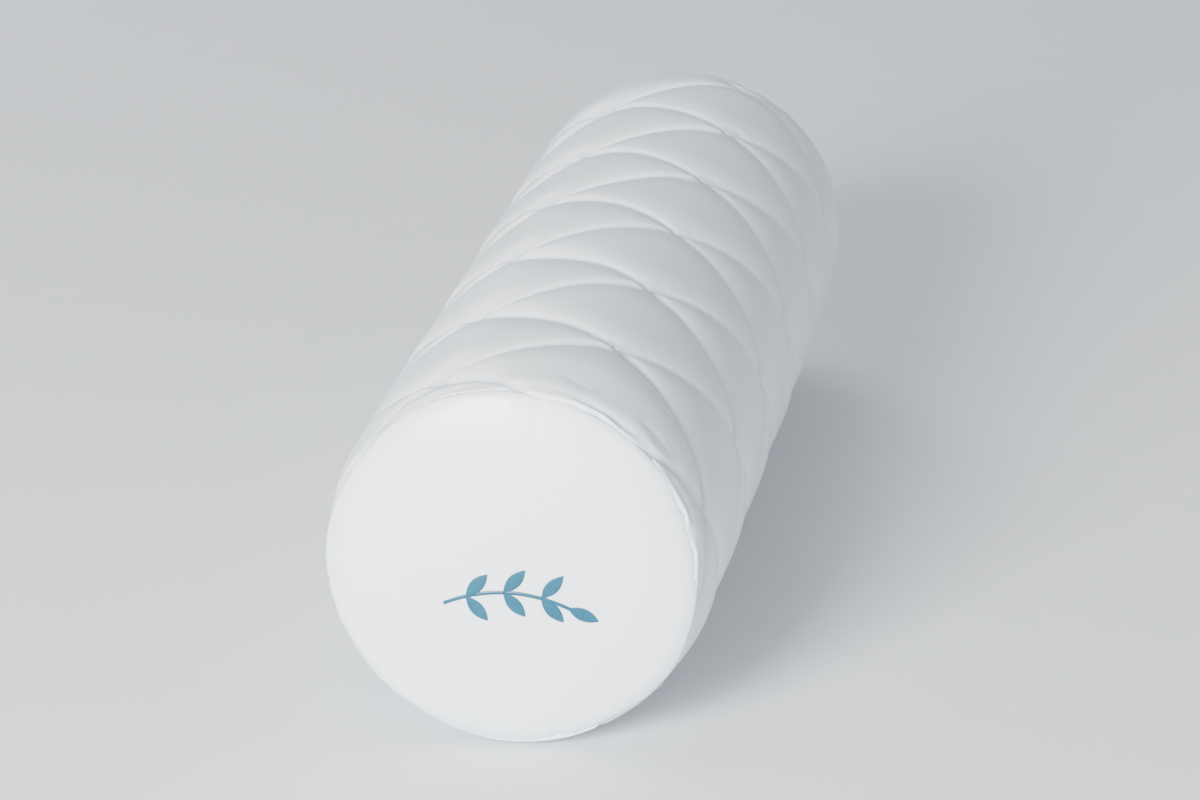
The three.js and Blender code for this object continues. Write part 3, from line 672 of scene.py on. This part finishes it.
# The cap with its puckers, deeper on one side, pressed in along the surface's own direction out. That is the
# cross product of the steps round the cap and towards its rim. A slight saddle bends the rim: sin 2a times r squared.
def puckeredCap(grid, seed):
    centred = grid - axisMiddle
    radius = np.hypot(centred[..., 1], centred[..., 2])
    angle = np.arctan2(centred[..., 2], centred[..., 1])
    steps = np.linalg.norm(np.diff(grid, axis=0), axis=-1)
    fromRim = np.concatenate([np.cumsum(steps[::-1], 0)[::-1], np.zeros_like(steps[:1])])
    toRim = np.gradient(grid, axis=0)
    onward = np.roll(grid, -1, 1) - np.roll(grid, 1, 1)
    outward = np.cross(toRim, onward)
    outward /= np.maximum(np.linalg.norm(outward, axis=-1, keepdims=True), 1e-12)
    outward[0] = (-1, 0, 0)
    outward *= np.where((outward * centred).sum(-1, keepdims=True) < 0, -1, 1)
    uneven = 0.65 + 0.45 * np.cos(angle - math.pi + 0.3) + 0.2 * np.sin(3 * angle + seed)
    depth = gathers(angle * seamRadius, fromRim, 2 * math.pi * seamRadius, cap["puckers"], cap["pucker"],
                    cap["puckerReach"], seed)
    depth *= uneven * (1 - np.exp(-((fromRim / cap["puckerStart"]) ** 2)))
    made = grid - outward * depth[..., None]
    saddle = np.sin(2 * angle + 0.7 + seed) * (radius / seamRadius) ** 2 * np.clip(fromRim / cap["saddleFrom"], 0, 1)
    made[..., 0] -= cap["saddle"] * saddle
    return made


caps = {}
for end, side, seed in (("near", -1, 21), ("far", 1, 22)):
    outside = settled(puckeredCap(capFine, seed))
    if side > 0:
        outside = outside[:, ::-1] * np.array([-1, 1, 1])
    flat = np.concatenate([outside[0, :1], outside[1:].reshape(-1, 3)])
    mesh = meshOf("endCap_" + end, flat, capFaces(*outside.shape[:2]))
    insideSeam = np.maximum(seamRadius - np.hypot(flat[:, 1], flat[:, 2] - axisZ), 0)
    # Painted shade: the crease attribute greys the cap towards its rim, beside the seam.
    writeAttribute(mesh, "crease", paintedShade["cap"] * np.exp(-insideSeam / paintedShade["capReach"]))
    endCap = addPiece("endCap_" + end, mesh, "cover", leatherette, ["end_cap_" + end])
    thicken(endCap, cloth["facing"], -1)
    caps[end] = endCap
    # The padding fills the cap: the same sheet drawn in by the leatherette's thickness, closed by a flat back.
    inner = outside[::2, ::2].copy()
    centred = inner - axisMiddle
    reach = np.hypot(centred[..., 1], centred[..., 2])
    drawIn = 1 - (cloth["facing"] + cap["paddingGap"]) / np.maximum(reach, 0.02)
    backX = abs(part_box("cap_backing_" + end)[0 if side < 0 else 1].x) + cap["paddingBack"]
    inner[..., 1:] = np.array([0, axisZ]) + centred[..., 1:] * drawIn[..., None]
    inner[..., 0] = side * np.maximum(np.abs(inner[..., 0]) - cloth["facing"] - cap["paddingBelow"], backX)
    inner[-1, :, 0] = side * backX
    body = np.concatenate([inner[0, :1], inner[1:].reshape(-1, 3), [[side * backX, 0, axisZ]]])
    rings, around = inner.shape[:2]
    last = 1 + (rings - 2) * around + np.arange(around)
    backFaces = np.stack([np.roll(last, -1), last, np.full(around, len(body) - 1)], -1)
    paddingMesh = meshOf("capPadding_" + end, body, capFaces(rings, around) + backFaces.tolist())
    padding = addPiece("capPadding_" + end, paddingMesh, "cover", fleece, ["cap_padding_" + end])
    cleanMesh(padding.data)
print("end caps and their padding made")

# Stitches: short lengths of thread, each dipping into the cloth at both ends. Length, gap and thickness of each kind:
stitch = {"quilt": (0.0034, 0.0012, 0.0006), "seam": (0.0030, 0.0016, 0.0006), "topstitch": (0.0030, 0.0010, 0.0006)}
stitchRings, stitchSides = 7, 4
# Where the stitching stops short of the seams and the zip line, and how far each kind stands out of its surface.
sewing = {"fromSeam": 0.004, "fromZip": 0.0125, "quiltOut": 0.0004, "seamOut": 0.0005, "seamPast": 0.0004,
          "topstitchOut": 0.0002, "joinOut": 0.0001, "floorGap": 0.0004}


# Values given along a path, read at some distances travelled along it.
def readAlong(travelled, values, spots):
    return np.stack([np.interp(spots, travelled, values[:, k]) for k in range(3)], -1)


# A stitch is a tube round a bowed line: its bow is the root of a cosine, less the part that dips into the cloth.
# Every stitch on a path is the same tube turned to the path's direction and to the surface's outward direction.
def stitchesAlong(path, outward, length, gap, thickness):
    steps = np.linalg.norm(np.diff(path, axis=0), axis=1)
    travelled = np.concatenate([[0], np.cumsum(steps)])
    count = max(int(travelled[-1] / (length + gap)), 1)
    spots = (np.arange(count) + 0.5) * travelled[-1] / count
    middle, up = readAlong(travelled, path, spots), readAlong(travelled, outward, spots)
    ahead = readAlong(travelled, path, spots + length / 2) - readAlong(travelled, path, spots - length / 2)
    ahead /= np.linalg.norm(ahead, axis=1, keepdims=True)
    up -= (up * ahead).sum(1, keepdims=True) * ahead
    up /= np.linalg.norm(up, axis=1, keepdims=True)
    sideways = np.cross(up, ahead)
    share = np.linspace(-1, 1, stitchRings)
    bow = thickness * (0.7 * np.cos(share * math.pi / 2) ** 0.5 - 0.45)
    girth = thickness / 2 * np.sqrt(np.maximum(1 - share**6, 0.08))
    ringTurn = np.arange(stitchSides) * 2 * math.pi / stitchSides + math.pi / 4
    ringAlong = np.repeat(share * length / 2, stitchSides)
    ringSide = (girth[:, None] * np.cos(ringTurn)[None]).ravel()
    ringUp = (bow[:, None] + girth[:, None] * np.sin(ringTurn)[None]).ravel()
    points = (middle[:, None] + ahead[:, None] * ringAlong[None, :, None]
              + sideways[:, None] * ringSide[None, :, None] + up[:, None] * ringUp[None, :, None])
    sides = gridFaces(stitchRings, stitchSides, closed=True)[:, ::-1]
    stitchPoints = stitchRings * stitchSides
    ends = np.array([np.arange(stitchSides), stitchPoints - 1 - np.arange(stitchSides)])
    template = np.concatenate([sides, ends])
    faces = (template[None] + stitchPoints * np.arange(count)[:, None, None]).reshape(-1, 4)
    return points.reshape(-1, 3), faces


# All the stitches of some runs, each a path and its outward directions, as one piece.
def stitchPiece(name, runs, length, gap, thickness, replaced=()):
    points, faces, start = [], [], 0
    for path, outward in runs:
        made, quads = stitchesAlong(path, outward, length, gap, thickness)
        points.append(made)
        faces.append(quads + start)
        start += len(made)
    mesh = meshOf(name, np.concatenate(points), np.concatenate(faces).tolist())
    piece = addPiece(name, mesh, "cover", thread, replaced)
    cleanMesh(piece.data)


# A path drawn on the sleeve before it sags, and the outward direction at each point.
def onSleeve(x, arc, radius):
    angle = zipTurn + arc / coverRadius
    path = settled(roundAxis(x, angle, radius), sewing["floorGap"])
    return path, roundAxis(0 * x, angle, 1.0) - axisMiddle


# Quilting lines: arc goes evenly from one side of the zip to the other while x climbs or falls with it.
runs = []
slope = sleeve["halfPitch"] / halfArc
arcPath = np.linspace(0.0, wholeArc, 900)
for climb in (1, -1):
    for number in range(-10, 24):
        startX = -seamX + sleeve["firstCrossing"] + 2 * number * sleeve["halfPitch"]
        xPath = startX + climb * slope * arcPath
        fromZip = np.minimum(arcPath, wholeArc - arcPath)
        share = quiltShare(xPath, fromZip)
        shown = (np.abs(xPath) < seamX - sewing["fromSeam"]) & (fromZip > sewing["fromZip"])
        if shown.sum() < 12:  # too short for a stitch
            continue
        level = (plumpRadius(xPath) - (sleeve["sewnDepth"] + sleeve["creaseDepth"]) * share
                 - sleeve["flatDrop"] * (1 - share) + sewing["quiltOut"])
        runs.append(onSleeve(xPath[shown], arcPath[shown], level[shown]))
stitchPiece("quiltStitches", runs, *stitch["quilt"])

# Seam stitches go round each end in the groove between sleeve and cap.
ringTurns = np.linspace(0, 2 * math.pi, 241)
for end, side in (("near", -1), ("far", 1)):
    ringX = side * (seamX + sewing["seamPast"])
    path = settled(roundAxis(ringX, ringTurns, seamRadius + sewing["seamOut"]))
    outward = roundAxis(0.0, ringTurns, 1.0) - axisMiddle
    stitchPiece("seamStitches_" + end, [(path, outward)], *stitch["seam"], ["end_seam_stitch_" + end])

# Topstitching runs round the slot like a running track, and the join goes on along X at both ends of it.
track = {"inset": 0.0023, "bendPoints": 24, "points": 1600, "besideJoin": 0.0026, "joinPoints": 60}
trackHalf = sleeve["slotHalfWidth"] + track["inset"]
trackStraight = sleeve["slotHalfLength"] - sleeve["slotHalfWidth"]
bend = np.linspace(-math.pi / 2, math.pi / 2, track["bendPoints"])
trackX = np.concatenate([trackStraight + trackHalf * np.cos(bend), -trackStraight - trackHalf * np.cos(bend)])
trackArc = np.concatenate([trackHalf * np.sin(bend), -trackHalf * np.sin(bend)])
trackX, trackArc = np.append(trackX, trackX[0]), np.append(trackArc, trackArc[0])
evenly = np.linspace(0, len(trackX) - 1, track["points"])
number = np.arange(len(trackX))
trackX, trackArc = np.interp(evenly, number, trackX), np.interp(evenly, number, trackArc)
onFlat = coverRadius - sleeve["flatDrop"]
trackRun = onSleeve(trackX, trackArc, onFlat + sewing["topstitchOut"])
stitchPiece("zipTopstitch", [trackRun], *stitch["topstitch"], ["zip_topstitch"])
for end in ("near", "far"):
    low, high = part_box("join_stitch_" + end)
    joinX = np.linspace(low.x, high.x, track["joinPoints"])
    bothSides = [onSleeve(joinX, np.full(len(joinX), side * track["besideJoin"]), onFlat + sewing["joinOut"])
                 for side in (-1, 1)]
    stitchPiece("joinStitches_" + end, bothSides, *stitch["topstitch"], ["join_stitch_" + end])
print("stitches made")

# Zip: coils with a filler cord in each, stops, slider and pull.
zipCos, zipSin = math.cos(zipTurn), math.sin(zipTurn)


# From the zip's own frame (x along, out of the sleeve, across the zip) to the bolster's.
def fromZipFrame(x, out, across):
    x, out, across = np.broadcast_arrays(x, out, across)
    return np.stack([x, out * zipCos - across * zipSin, axisZ + out * zipSin + across * zipCos], -1)


# Head and root are a row's two edges across the zip, and top and bottom its distances from the long axis.
coil = {"pitch": 0.0015, "wire": 0.00052, "perTurn": 10, "sides": 5, "head": 0.00052, "root": 0.0029,
        "top": 0.08862, "bottom": 0.08702}
filler = {"halfWide": 0.00060, "halfHigh": 0.00024, "inset": 0.0005, "rings": 226, "sides": 10}
coilLow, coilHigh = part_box("zip_coil_upper")


# One row is a wire wound in flat loops: across the zip it goes (head..root) by a cosine, out of the sleeve
# (bottom..top) by a sine, and along X by one pitch a turn. Its section is a ring of five sides.
def coilRow(side):
    turnsCount = int((coilHigh.x - coilLow.x) / coil["pitch"]) - 1
    step = np.arange(turnsCount * coil["perTurn"] + 1) / coil["perTurn"]
    phase = 2 * math.pi * step
    wireRadius = coil["wire"] / 2
    halfWide = (coil["root"] - coil["head"]) / 2 - wireRadius
    halfHigh = (coil["top"] - coil["bottom"]) / 2 - wireRadius
    centre = np.stack([coilLow.x + wireRadius + (step + (0.5 if side > 0 else 0)) * coil["pitch"],
                       (coil["top"] + coil["bottom"]) / 2 + halfHigh * np.sin(phase),
                       side * ((coil["root"] + coil["head"]) / 2 - halfWide * np.cos(phase))], -1)
    ahead = np.gradient(centre, axis=0)
    ahead /= np.linalg.norm(ahead, axis=1, keepdims=True)
    first = np.cross(ahead, np.array([1.0, 0, 0]))
    first /= np.linalg.norm(first, axis=1, keepdims=True)
    second = np.cross(ahead, first)
    around = np.arange(coil["sides"]) * 2 * math.pi / coil["sides"]
    wire = (centre[:, None] + wireRadius * (first[:, None] * np.cos(around)[None, :, None]
                                            + second[:, None] * np.sin(around)[None, :, None]))
    points = fromZipFrame(wire[..., 0], wire[..., 1], wire[..., 2])
    count = len(centre)
    ends = [list(range(coil["sides"])), list(range((count - 1) * coil["sides"], count * coil["sides"]))[::-1]]
    return points, gridFaces(count, coil["sides"], closed=True).tolist() + ends


# The filler cord inside a row: a tube of oval section.
def coilCord(side):
    around = np.arange(filler["sides"]) * 2 * math.pi / filler["sides"]
    rings = np.linspace(coilLow.x + filler["inset"], coilHigh.x - filler["inset"], filler["rings"])
    x, turn = np.meshgrid(rings, around, indexing="ij")
    out = (coil["top"] + coil["bottom"]) / 2 + filler["halfHigh"] * np.sin(turn)
    across = side * ((coil["root"] + coil["head"]) / 2 + filler["halfWide"] * np.cos(turn))
    firstEnd = list(range(filler["sides"]))
    lastEnd = [(filler["rings"] - 1) * filler["sides"] + corner for corner in firstEnd[::-1]]
    return (fromZipFrame(x, out, across),
            gridFaces(filler["rings"], filler["sides"], closed=True).tolist() + [firstEnd, lastEnd])


for name, side in (("upper", 1), ("lower", -1)):
    points, faces = coilCord(side)
    cord = addPiece("zipFiller_" + name, meshOf("zipFiller_" + name, points, faces), "cover", thread)
    cleanMesh(cord.data)
    points, faces = coilRow(side)
    piece = addPiece("zipCoil_" + name, meshOf("zipCoil_" + name, points, faces), "cover", nylon,
                     ["zip_coil_" + name])
    cleanMesh(piece.data)


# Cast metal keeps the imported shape, with its edges rounded as tumbling leaves them.
def roundedCopy(name, node, body, edge):
    mesh = cadNodes[node].data.copy()
    mesh.name = name
    cleanMesh(mesh, 1e-5)
    piece = addPiece(name, mesh, body, nickel, [node])
    bevel = piece.modifiers.new("tumbled", "BEVEL")
    bevel.width = edge
    bevel.segments = 3
    bevel.limit_method = "ANGLE"
    bevel.angle_limit = math.radians(40)
    bevel.use_clamp_overlap = True
    applyAll(piece)
    piece.data.shade_smooth()


roundedCopy("zipSlider", "zip_slider", "slider", 0.00018)
roundedCopy("zipPull", "zip_pull", "pull", 0.00028)
roundedCopy("zipTopStop", "zip_top_stop", "cover", 0.0004)
roundedCopy("zipBottomStop", "zip_bottom_stop", "cover", 0.0004)
print("zip made")

# Emblem: a sprig of leaves in thin film, pressed onto the near cap.
sprig = {"leafLength": 0.015, "leafWidth": 0.006, "pairs": 3, "stemLength": 0.058, "stemWidth": 0.0018,
         "stemBow": 0.007, "lean": math.radians(48), "drop": 0.014, "lead": 0.6, "endLeafAt": 0.97,
         "liftOff": 0.00012, "film": 0.00016}


# Middle of the stem, an arc of a parabola, at a share of its length.
def stemAt(share):
    return np.stack([(share - 0.5) * sprig["stemLength"],
                     4 * sprig["stemBow"] * share * (1 - share) - sprig["drop"]], -1)


# A leaf goes from its foot along its heading, and its half width is 2 t (1 - t) of leafWidth.
def leafPatch(share, heading):
    t, s = np.meshgrid(np.linspace(0, 1, 17), np.linspace(-1, 1, 9), indexing="ij")
    onward = t * sprig["leafLength"]
    across = s * 2 * t * (1 - t) * sprig["leafWidth"]
    foot = stemAt(np.array(share))
    return foot + np.stack([onward * math.cos(heading) - across * math.sin(heading),
                            onward * math.sin(heading) + across * math.cos(heading)], -1)


patches = [stemAt(np.linspace(0, 1, 41))[:, None]
           + np.stack([np.zeros(3), np.linspace(-0.5, 0.5, 3) * sprig["stemWidth"]], -1)[None]]
for pair in range(sprig["pairs"]):
    share = (pair + sprig["lead"]) / (sprig["pairs"] + 1 - sprig["lead"])
    patches += [leafPatch(share, sprig["lean"]), leafPatch(share, -sprig["lean"])]
patches.append(leafPatch(sprig["endLeafAt"], -sprig["lean"] / 2))
points, faces, start = [], [], 0
for patch in patches:
    rows, columns = patch.shape[:2]
    points.append(patch.reshape(-1, 2))
    faces.append(gridFaces(rows, columns, start=start))
    start += rows * columns
flat = np.concatenate(points)
front = np.stack([np.full(len(flat), -crownX - 0.02), -flat[:, 0], axisZ + flat[:, 1]], -1)
emblem = addPiece("capEmblem", meshOf("capEmblem", front, np.concatenate(faces).tolist()), "cover",
                  film, ["cap_emblem"])
press = emblem.modifiers.new("pressed", "SHRINKWRAP")
press.wrap_method = "PROJECT"
press.use_project_x = True
press.use_project_y = press.use_project_z = False
press.use_positive_direction = True
press.use_negative_direction = False
press.target = caps["near"]
press.offset = sprig["liftOff"]
applyAll(emblem)
cleanMesh(emblem.data)
thicken(emblem, sprig["film"], 1)
print("emblem:", len(emblem.data.polygons), "faces")

# Floor, lights and camera.
studio = {"distance": 2.2, "azimuth": math.radians(9), "elevation": math.radians(18.5), "lens": 132,
          "target": (-0.035, 0.0, 0.082), "halfFloor": 6, "floorZ": -0.0002}
floorCorners = [[x * studio["halfFloor"], y * studio["halfFloor"], studio["floorZ"]]
                for x, y in ((-1, -1), (1, -1), (1, 1), (-1, 1))]
floorMesh = meshOf("floor", floorCorners, [[0, 1, 2, 3]])
floor = bpy.data.objects.new("floor", floorMesh)
scene.collection.objects.link(floor)
floorPaint, tree, shader, place = newMaterial("mattPaint", {"Roughness": 0.8})
speckle = addNode(tree, "ShaderNodeTexNoise", {"Scale": 30, "Detail": 2}, {"Vector": place})
tone = addNode(tree, "ShaderNodeMix", {"data_type": "RGBA", mixLow: "#e7eaec", mixHigh: "#ebedef"},
               {mixFactor: speckle.outputs["Fac"]})
feed(shader, {"Base Color": tone.outputs[mixed]})
floorMesh.materials.append(floorPaint)

lights = {
    "keyPanel": ((-2.6, 0.7, 1.0), 0.9, 210, "#fbfdff"),    # in front of the near cap, low, so slopes catch it
    "fillPanel": ((-0.8, -2.0, 0.9), 1.4, 9, "#e9f1fb"),
    "topPanel": ((0.6, 0.5, 2.3), 1.2, 14, "#eef4fb"),
    "backPanel": ((2.1, 1.4, 1.1), 1.0, 16, "#eef4ff"),
}
lightAim = np.array([0, 0, 0.09])
for name, (spot, size, power, colour) in lights.items():
    data = bpy.data.lights.new(name, "AREA")
    data.shape = "SQUARE"
    data.size = size
    data.energy = power
    data.color = colourOf(colour)[:3]
    light = bpy.data.objects.new(name, data)
    scene.collection.objects.link(light)
    light.location = spot
    light.rotation_mode = "QUATERNION"
    light.rotation_quaternion = Vector(lightAim - np.array(spot)).to_track_quat("-Z", "Y")
world = bpy.data.worlds.new("studioWorld")
world.use_nodes = True
background = world.node_tree.nodes["Background"]
background.inputs["Color"].default_value = colourOf("#eef3f8")
background.inputs["Strength"].default_value = 0.5
scene.world = world

cameraData = bpy.data.cameras.new("camera")
cameraData.lens = studio["lens"]
cameraData.sensor_width = 36
camera = bpy.data.objects.new("camera", cameraData)
scene.collection.objects.link(camera)
back = np.array([-math.cos(studio["azimuth"]) * math.cos(studio["elevation"]),
                 -math.sin(studio["azimuth"]) * math.cos(studio["elevation"]), math.sin(studio["elevation"])])
camera.location = np.array(studio["target"]) + back * studio["distance"]
camera.rotation_mode = "QUATERNION"
camera.rotation_quaternion = Vector(-back).to_track_quat("-Z", "Y")
scene.camera = camera

print("scene ready")
